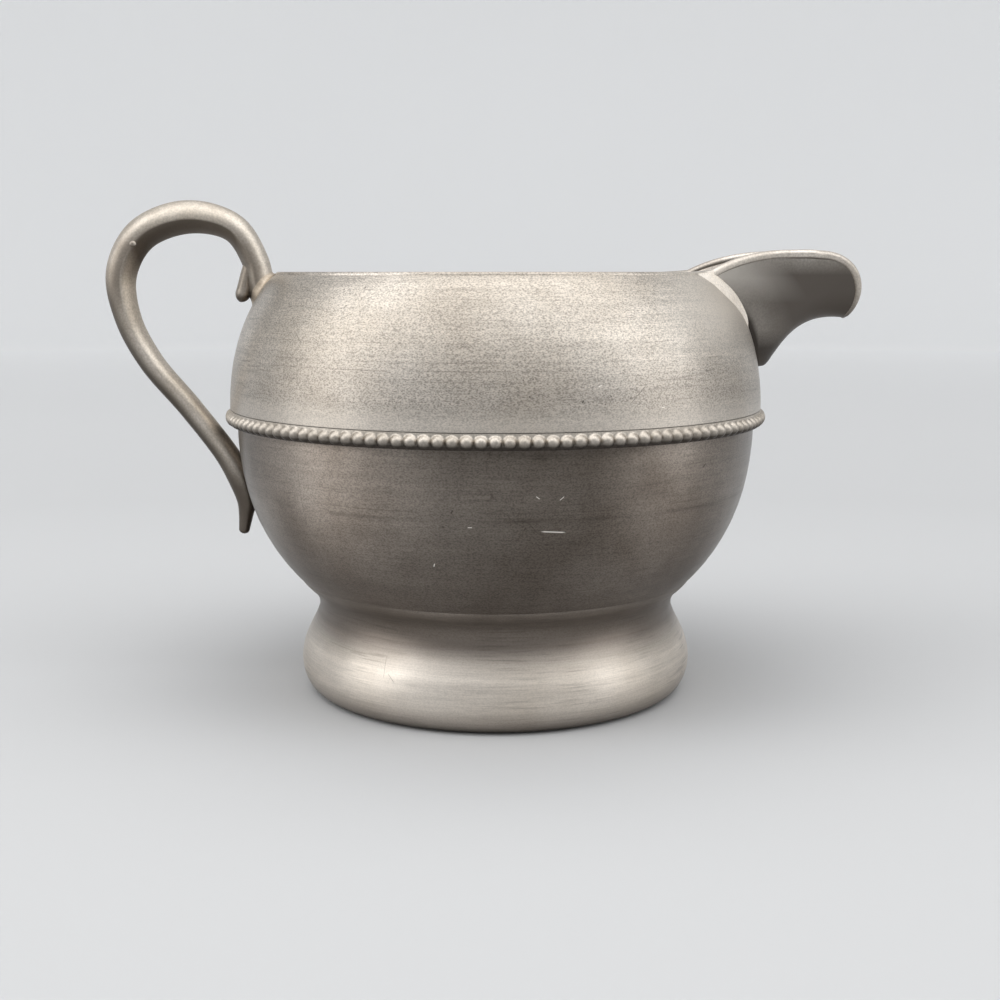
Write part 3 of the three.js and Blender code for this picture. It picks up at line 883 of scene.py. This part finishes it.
lip_sides = 20
rim_run = 16
run_step = math.radians(1.2)
run_start = 0.3 * mm
corner_turn = math.atan2(spout_seam(1).y, spout_seam(1).x)
lip_line = []
for step in range(rim_run):
    turn = corner_turn + run_step * (rim_run - step)
    r = rim_radius - wall / 2 - rim_ease_in / 2
    radial = about(1, turn, 0)
    size = run_start + (lip_bead - run_start) * step / rim_run
    lip_line.append((radial * r + Vector((0, 0, rim_edge)), -radial, size))
edge_steps = 40
edges = [(1, step / edge_steps) for step in range(1, edge_steps)]
edges += [(1 - step / edge_steps, 1) for step in range(edge_steps + 1)]
for s, v in edges:
    size = lip_bead * (0.75 + 0.25 * min(s / 0.4, 1))
    lip_line.append((spout_skin(s, v), spout_inward(s, v), size))
across_y = Vector((1, -1, 1))
lip_line += [(point * across_y, inward * across_y, size) for point, inward, size in lip_line[-2::-1]]
lip_loops = []
for i, (point, inward, size) in enumerate(lip_line):
    along = (lip_line[min(i + 1, len(lip_line) - 1)][0] - lip_line[max(i - 1, 0)][0]).normalized()
    outward = inward.cross(along).normalized()
    inward = along.cross(outward).normalized()
    middle = point
    if rim_run <= i < len(lip_line) - rim_run:
        middle = point + inward * spout_wall / 2 - outward * size
    loop = []
    for j in range(lip_sides):
        swing = 2 * math.pi * j / lip_sides
        loop.append(middle + inward * size * math.cos(swing) + outward * size * math.sin(swing))
    lip_loops.append(loop)
lip = piece_of(lofted(lip_loops, False), "lip_bead")
lip_clean = (0.64, 0.59, 0.53, 1)
lip_dull = (0.5, 0.452, 0.395, 1)
lip_finish = cast_pewter("worn_lip_pewter", lip_clean, lip_dull, 0.4)
# Painted shade on the lip's undersides
lip.data.materials.append(shade_undersides(lip_finish, -0.45, -0.9, 0.85))


def carve(piece, tool, way, crease=40):
    """Joins or cuts a piece with a tool, which is used up"""
    step = piece.modifiers.new(way, "BOOLEAN")
    step.operation = way
    step.solver = "EXACT"
    step.material_mode = "TRANSFER"
    step.object = tool
    bpy.context.view_layer.update()
    depsgraph = bpy.context.evaluated_depsgraph_get()
    shaped = bpy.data.meshes.new_from_object(piece.evaluated_get(depsgraph))
    piece.modifiers.clear()
    piece.data = shaped
    shaped.shade_smooth()
    shaped.set_sharp_from_angle(angle=math.radians(crease))
    bpy.data.objects.remove(tool)


carve(spout, lip, "UNION", crease=30)
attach(spout, "root")
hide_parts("spout")


# Spout fillet: solder drawn along the V-shaped joint of spout and shoulder. It is filed to a flat bright
# ear on the shoulder under the rim and runs out fine at the point.
solder_sink = 0.05 * mm
seam_steps = 60
seam_share = 0.985
face_steps = 10
ear_turn = math.radians(8)
point_turn = 0.003
search_step = 0.002
spout_fillet_loops = []
for step in range(-seam_steps, seam_steps + 1):
    s = seam_share * math.copysign(abs(step / seam_steps) ** 1.3, step)
    corner = spout_seam(s)
    on_spout = (0.15 + 0.85 * eased_in(abs(s), 0.3, 0.85) - 0.4 * eased_in(abs(s), 0.8, 1)) * mm
    on_body = point_turn + ear_turn * eased_in(abs(s), 0.5, 0.95)
    v = 0
    while (spout_skin(s, v) - corner).length < on_spout:
        v += search_step
    end = spout_skin(s, v) + spout_inward(s, v) * solder_sink
    end_turn = math.atan2(end.y, end.x)
    turn = math.atan2(corner.y, corner.x) + math.copysign(on_body, s)
    start_radius = eased_radius(min(corner.z, rim_edge)) - solder_sink
    loop = []
    for place in range(face_steps + 1):
        t = place / face_steps
        r = start_radius + (math.hypot(end.x, end.y) - start_radius) * t ** 1.5
        loop.append(about(r, turn + (end_turn - turn) * t, corner.z + (end.z - corner.z) * t))
    root = corner * 0.995
    spout_fillet_loops.append(loop + [root, loop[0].lerp(root, 0.5)])
spout_fillet = piece_of(lofted(spout_fillet_loops, False), "spout_fillet")
filed_bright = (0.93, 0.875, 0.8, 1)
filed_dull = (0.84, 0.78, 0.7, 1)
spout_fillet.data.materials.append(solder_grey("spout_solder_grey", filed_bright, filed_dull, 0.62))
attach(spout_fillet, "root")
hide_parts("spout_solder")


# Handle: a bar cast in pewter, round outside and bevelled inside, bent in a high round loop. A small scroll
# tip springs from its inner side above the upper joint, and a blunt tail flicks out below the lower one.
bar_thick = 5.5 * mm
bar_broad = 6.2 * mm
handle_reach = 20.9 * mm
handle_seat = 3.1 * mm
handle_landing = 11.1 * mm
tail_length = 10 * mm
bar_sides = 48
bar_ridge = 0.15
bevel_power = 1.5
end_steps = 8
handle_stations = 220
tail_rounding = 0.012
scroll_stations = 40
scroll_rounding = 0.2
handle_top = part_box("handle")[1].z - bar_thick / 2
handle_out = body_radius + handle_reach - 0.49 * bar_thick
seat_height = rim_height - handle_seat
landing_height = belly_height - handle_landing
seat_radius = shoulder_radius(seat_height)


def curve_at(points, t):
    """Smooth curve through points, each taking time by the square root of its distance from the last"""
    spans = len(points) - 1
    i = min(int(t * spans), spans - 1)
    p1 = points[i]
    p2 = points[i + 1]
    p0 = points[i - 1] if i else p1 * 2 - p2
    p3 = points[i + 2] if i + 2 <= spans else p2 * 2 - p1
    t1 = (p1 - p0).length ** 0.5
    t2 = t1 + (p2 - p1).length ** 0.5
    t3 = t2 + (p3 - p2).length ** 0.5
    u = t1 + (t * spans - i) * (t2 - t1)
    a1 = p0.lerp(p1, u / t1)
    a2 = p1.lerp(p2, (u - t1) / (t2 - t1))
    a3 = p2.lerp(p3, (u - t2) / (t3 - t2))
    return a1.lerp(a2, u / t2).lerp(a2.lerp(a3, (u - t1) / (t3 - t1)), (u - t1) / (t2 - t1))


def bar(points, stations, rounding):
    """Bar along points of (distance out from the axis, thickness, height), its last end rounded"""
    shares = [(1 - rounding) * i / stations for i in range(stations)]
    shares += [1 - rounding * (1 - math.sin(math.pi / 2 * i / end_steps)) for i in range(end_steps + 1)]
    loops = []
    for t in shares:
        middle = curve_at(points, t)
        along = curve_at(points, min(t + 0.002, 1)) - curve_at(points, max(t - 0.002, 0))
        along.y = 0
        along.normalize()
        bevel = 1 + (bevel_power - 1) * eased_in(t, 0, 0.15) * (1 - eased_in(t, 0.5, 0.72))
        rounded = max((t - 1 + rounding) / rounding, 0)
        half = middle.y / 2 * math.sqrt(max(1 - rounded ** 2, 0.03))
        loop = []
        for j in range(bar_sides):
            swing = 2 * math.pi * (j + 0.5) / bar_sides
            across = (1 + bar_ridge) * math.cos(swing)
            y = math.sin(swing)
            if across < 0:
                across = (bar_ridge - 1) * abs(math.cos(swing)) ** bevel
                y = math.copysign(abs(y) ** bevel, y)
            across = half * (across - bar_ridge)
            y *= half * bar_broad / bar_thick
            loop.append(Vector((-middle.x + along.z * across, y, middle.z + along.x * across)))
        loops.append(loop)
    return lofted(loops, False)


def at(out, height, share):
    """Place of the bar by its distance from the axis, its height and its share of the full thickness"""
    return Vector((out, share * bar_thick, height))


def on_loop(across, up, share):
    """Place on the loop, across from the seat to the grip and up from the landing to the top"""
    out = seat_radius + (handle_out - seat_radius) * across
    return at(out, landing_height + (handle_top - landing_height) * up, share)


def by_wall(below, clear, share):
    """Place beside the bowl's wall, below the landing and clear of the wall by shares of the bar"""
    height = landing_height - below
    return at(bowl_wall(height) + clear * bar_thick, height, share)


handle_points = [
    at(seat_radius - 0.45 * bar_thick, seat_height - 0.95 * bar_thick, 0.8),
    at(seat_radius - 0.2 * bar_thick, seat_height - 0.5 * bar_thick, 0.86),
    at(seat_radius + 0.05 * bar_thick, seat_height, 0.86),
    on_loop(0.055, 0.835, 0.82), on_loop(0.2, 0.958, 0.86), on_loop(0.52, 1, 1),
    on_loop(0.85, 0.933, 1), on_loop(1, 0.789, 0.94), on_loop(0.967, 0.617, 0.81),
    on_loop(0.816, 0.45, 0.76), on_loop(0.548, 0.271, 0.73), on_loop(0.3, 0.09, 0.74),
    by_wall(0, 0.3, 0.8), by_wall(0.38 * tail_length, 0.3, 0.66),
    by_wall(0.65 * tail_length, 0.53, 0.46), by_wall(tail_length, 0.95, 0.3),
]
scroll_out = seat_radius + 0.5 * bar_thick
scroll_points = [
    at(scroll_out - 0.2 * bar_thick, seat_height + 1.05 * bar_thick, 0.4),
    at(scroll_out - 0.06 * bar_thick, seat_height + 0.55 * bar_thick, 0.46),
    at(scroll_out + 0.06 * bar_thick, seat_height + 0.1 * bar_thick, 0.48),
    at(scroll_out + 0.23 * bar_thick, seat_height - 0.34 * bar_thick, 0.44),
]
handle = piece_of(bar(handle_points, handle_stations, tail_rounding), "loop_handle")
bar_corners = [v.co for v in handle.data.vertices]
bar_faces = BVHTree.FromPolygons(bar_corners, [p.vertices for p in handle.data.polygons])
scroll = piece_of(bar(scroll_points, scroll_stations, scroll_rounding), "scroll_tip")
carve(handle, scroll, "UNION", crease=35)
pimple_size = 0.55 * mm
pimple_ray = Vector((-59.7 * mm, -2 * bar_broad, 74.6 * mm))
pimple_place = bar_faces.ray_cast(pimple_ray, Vector((0, 1, 0)))[0]
pimple_sides = 20
pimple_rows = 12
pimple_outline = []
for row in range(pimple_rows + 1):
    lift = math.pi * (row / pimple_rows - 0.5)
    pimple_outline.append((pimple_size * math.cos(lift), pimple_size * math.sin(lift)))
pimple_form = turned(pimple_outline, pimple_sides)
bmesh.ops.scale(pimple_form, vec=(1, 0.6, 1), verts=pimple_form.verts)
bmesh.ops.translate(pimple_form, vec=pimple_place, verts=pimple_form.verts)
carve(handle, piece_of(pimple_form, "casting_pimple"), "UNION", crease=35)
body_sink = 0.08 * mm
body_rows = 24
body_outline = [(r, z) for r, z in bowl_outside if z <= belly_height]
for row in range(body_rows + 1):
    z = belly_height + (rim_edge - belly_height) * row / body_rows
    body_outline.append((shoulder_radius(z), z))
body_outline = inset(body_outline, [body_sink] * len(body_outline))
body_outline = [(0, bowl_low.z)] + body_outline[1:] + [(0, body_outline[-1][1])]
body_form = piece_of(turned(body_outline), "body_form")
carve(handle, body_form, "DIFFERENCE", crease=35)
# Painted shade for the handle's loop sides, slope and tail
loop_side_shade = (0.16, 0.13, 0.102, 1)
slope_shade = (0.07, 0.057, 0.046, 1)
tail_shade = (0.1, 0.083, 0.068, 1)


def painted_handle_shade(finish):
    """Paints shade on the handle: on its loop's sides, under its slope and on its tail"""
    tree = finish.node_tree
    facing = facing_in(tree)
    outward = parts_of(tree, facing)["X"]
    up = parts_of(tree, place_in(tree))["Z"]
    sides = sums(tree, "MULTIPLY", spread(tree, outward, 0.6, 0.1), spread(tree, outward, -0.9, -0.45))
    loop_low = spread(tree, up, rim_height - 7 * mm, rim_height - 2 * mm, 0.0, 0.7)
    loop_high = spread(tree, up, rim_height + 9 * mm, rim_height + 4 * mm)
    on_loop_sides = sums(tree, "MULTIPLY", sums(tree, "MULTIPLY", loop_low, loop_high), sides)
    painted_over(finish, on_loop_sides, loop_side_shade)
    down_slope = {0: facing, 1: (-0.75, 0, -0.66)}
    below = wire(tree, "ShaderNodeVectorMath", down_slope, "Value", operation="DOT_PRODUCT")
    below = spread(tree, below, 0.05, 0.6, 0.0, 0.65)
    on_slope = spread(tree, up, rim_height + 2 * mm, rim_height - 5 * mm)
    painted_over(finish, sums(tree, "MULTIPLY", below, on_slope), slope_shade)
    tail = spread(tree, up, landing_height + 6 * mm, landing_height - 2 * mm, 0.0, 0.92)
    return painted_over(finish, tail, tail_shade)


handle_clean = (0.64, 0.585, 0.515, 1)
handle_dull = (0.47, 0.418, 0.352, 1)
handle_finish = cast_pewter("handle_pewter", handle_clean, handle_dull, 0.4)
# Painted shade on the handle's undersides
handle_finish = shade_undersides(handle_finish, 0.0, -0.45, 0.93)
handle.data.materials.clear()
handle.data.materials.append(painted_handle_shade(handle_finish))
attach(handle, "root")
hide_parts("handle")


# Handle fillets: solder around the bar's upper end on the shoulder and along its lower end on the bowl.
# It drew into the corner when hot, so each is a thin hollow run.
upper_reach = 1.4 * mm
lower_reach = 0.5 * mm
hollow_steps = 7
joint_gap = 0.4 * mm
seat_slack = 0.05 * mm
smoothing_rounds = 3


def fillet(joint):
    """Closed run of solder in a corner: each place has its point, both faces' normals and its reach"""
    loops = []
    for corner, one, two, reach in joint:
        onto_one = (two - one * two.dot(one)).normalized()
        onto_two = (one - two * one.dot(two)).normalized()
        start = corner + onto_one * reach - one * solder_sink
        end = corner + onto_two * reach - two * solder_sink
        bulk = start.lerp(end, 0.5).lerp(corner, 0.7)
        loop = []
        for step in range(hollow_steps + 1):
            t = step / hollow_steps
            loop.append(start.lerp(bulk, t).lerp(bulk.lerp(end, t), t))
        root = corner - (one + two).normalized() * solder_sink * 4
        loops.append(loop + [end.lerp(root, 0.5), root, root.lerp(start, 0.3), root.lerp(start, 0.6)])
    return lofted(loops, True)


def off_body(point):
    """Distance of a point out from the body's cut face"""
    z = min(max(point.z, bowl_low.z), rim_edge)
    return math.hypot(point.x, point.y) - body_side(z) + body_sink


def joint_loops(piece):
    """Closed rows of points where a piece's free faces meet the faces that lie on the body"""
    form = bmesh.new()
    form.from_mesh(piece.data)
    seated = {f for f in form.faces if all(abs(off_body(v.co)) < seat_slack for v in f.verts)}
    border = [e for e in form.edges if len(seated.intersection(e.link_faces)) == 1]
    beside = {}
    for e in border:
        for v in e.verts:
            beside.setdefault(v, []).append(e)
    rows = []
    unused = list(border)
    while unused:
        e = unused.pop()
        row = [e.verts[0], e.verts[1]]
        following = True
        while following:
            following = [e for e in beside[row[-1]] if e in unused]
            if following:
                unused.remove(following[0])
                row.append(following[0].other_vert(row[-1]))
        rows.append([v.co.copy() for v in row])
    form.free()
    return rows


def evened(row, gap):
    """Same closed row with its points at even distances, less ragged"""
    if (row[0] - row[-1]).length < film:
        row = row[:-1]
    pairs = list(zip(row, row[1:] + row[:1]))
    way_round = sum((b - a).length for a, b in pairs)
    count = round(way_round / gap)
    pace = way_round / count
    points = []
    walked = 0
    for a, b in pairs:
        while len(points) * pace < walked + (b - a).length and len(points) < count:
            points.append(a.lerp(b, (len(points) * pace - walked) / (b - a).length))
        walked += (b - a).length
    for smoothing in range(smoothing_rounds):
        points = [(points[i - 1] + p * 2 + points[(i + 1) % count]) / 4 for i, p in enumerate(points)]
    return points


fillet_bright = (0.52, 0.447, 0.362, 1)
fillet_dull = (0.42, 0.354, 0.278, 1)


def solder_on(row, reach, name, node):
    """Fillet along a closed joint of handle and body"""
    points = evened(row, joint_gap)
    bar_normals = [bar_faces.find_nearest(point)[1] for point in points]
    joint = []
    for i, point in enumerate(points):
        beside = bar_normals[i - 1] + bar_normals[i] * 2 + bar_normals[(i + 1) % len(points)]
        joint.append((point, body_normal(point), beside.normalized(), reach))
    run = piece_of(fillet(joint), name)
    run.data.materials.append(solder_grey(name + "_grey", fillet_bright, fillet_dull, 0.44))
    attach(run, "root")
    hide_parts(node)


for row in joint_loops(handle):
    if row[0].z > belly_height:
        solder_on(row, upper_reach, "upper_handle_fillet", "handle_upper_solder")
    else:
        solder_on(row, lower_reach, "lower_handle_fillet", "handle_lower_solder")


# Studio: a round pale paper cove, soft lamps above, in front and at both sides, and the camera
# at the photograph's place. Far from the lamps the paper glows by itself, so that it stays pale.
cove_floor = 1.2
cove_bend = 0.4
cove_top = 1.8
cove_steps = 16
cove_outline = [(0.0, 0.0), (0.2, 0.0), (0.45, 0.0), (cove_floor, 0.0)]
for step in range(1, cove_steps + 1):
    swing = math.pi / 2 * step / cove_steps
    cove_outline.append((cove_floor + cove_bend * math.sin(swing), cove_bend * (1 - math.cos(swing))))
cove_outline.append((cove_floor + cove_bend, cove_top))
cove = piece_of(turned(cove_outline), "cove")
cove_finish, paper, paper_shader = fresh_finish("pale_paper")
paper_place = place_in(paper)
paper_tone = clouds(paper, paper_place, 3, 2.0)
paper_grey = (0.58, 0.585, 0.59, 1)
paper_pale = (0.61, 0.615, 0.62, 1)
paper_colour = tinted(paper, paper_tone, paper_grey, paper_pale)
front_lit = {0: paper_place, 1: (0, -0.45, 0)}
paper_far = wire(paper, "ShaderNodeVectorMath", front_lit, "Value", operation="DISTANCE")
seen = wire(paper, "ShaderNodeLightPath", {}).node.outputs
seen_or_mirrored = sums(paper, "MAXIMUM", seen["Is Camera Ray"], seen["Is Glossy Ray"])
paper_glow = sums(paper, "MULTIPLY", spread(paper, paper_far, 0.65, 1.55, 0.0, 0.38), seen_or_mirrored)
paper.links.new(paper_colour, paper_shader.inputs["Base Color"])
paper.links.new(paper_glow, paper_shader.inputs["Emission Strength"])
paper_shader.inputs["Emission Color"].default_value = (0.97, 0.985, 1, 1)
paper_shader.inputs["Roughness"].default_value = 0.9
cove.data.materials.append(cove_finish)


def softbox(name, place, aim, width, height, power):
    """Soft rectangular lamp, itself out of the picture"""
    lamp = bpy.data.lights.new(name, "AREA")
    lamp.shape = "RECTANGLE"
    lamp.size = width
    lamp.size_y = height
    lamp.energy = power
    holder = bpy.data.objects.new(name, lamp)
    holder.location = place
    holder.rotation_euler = (Vector(aim) - Vector(place)).to_track_quat("-Z", "Y").to_euler()
    holder.visible_camera = False
    bpy.context.scene.collection.objects.link(holder)


softbox("top_softbox", (0, 0.05, 1.0), (0, 0, 0), 1.3, 1.1, 5.8)
softbox("front_softbox", (0, -0.42, 0.84), (0, 0, 0.05), 2.0, 0.7, 6.2)
softbox("left_softbox", (-0.85, -0.22, 0.42), (0, 0, 0.1), 0.55, 0.85, 2.7)
softbox("right_softbox", (0.85, -0.22, 0.42), (0, 0, 0.1), 0.55, 0.85, 1.7)
world = bpy.data.worlds.new("room")
world.use_nodes = True
daylight = world.node_tree.nodes["Background"]
daylight.inputs["Color"].default_value = (0.95, 0.97, 1, 1)
daylight.inputs["Strength"].default_value = 0.3
scene = bpy.context.scene
scene.world = world

camera_distance = 0.2373
camera_height = 0.07008
camera_tilt = 9.2534
camera = bpy.data.cameras.new("camera")
camera.lens = 50.4
camera.sensor_width = 36
camera.shift_x = 0.0046
camera.clip_start = 0.01
viewpoint = bpy.data.objects.new("camera", camera)
viewpoint.location = (jug_axis, -camera_distance, camera_height)
viewpoint.rotation_euler = (math.radians(90 - camera_tilt), 0, 0)
scene.collection.objects.link(viewpoint)
scene.camera = viewpoint
scene.view_settings.view_transform = "Standard"
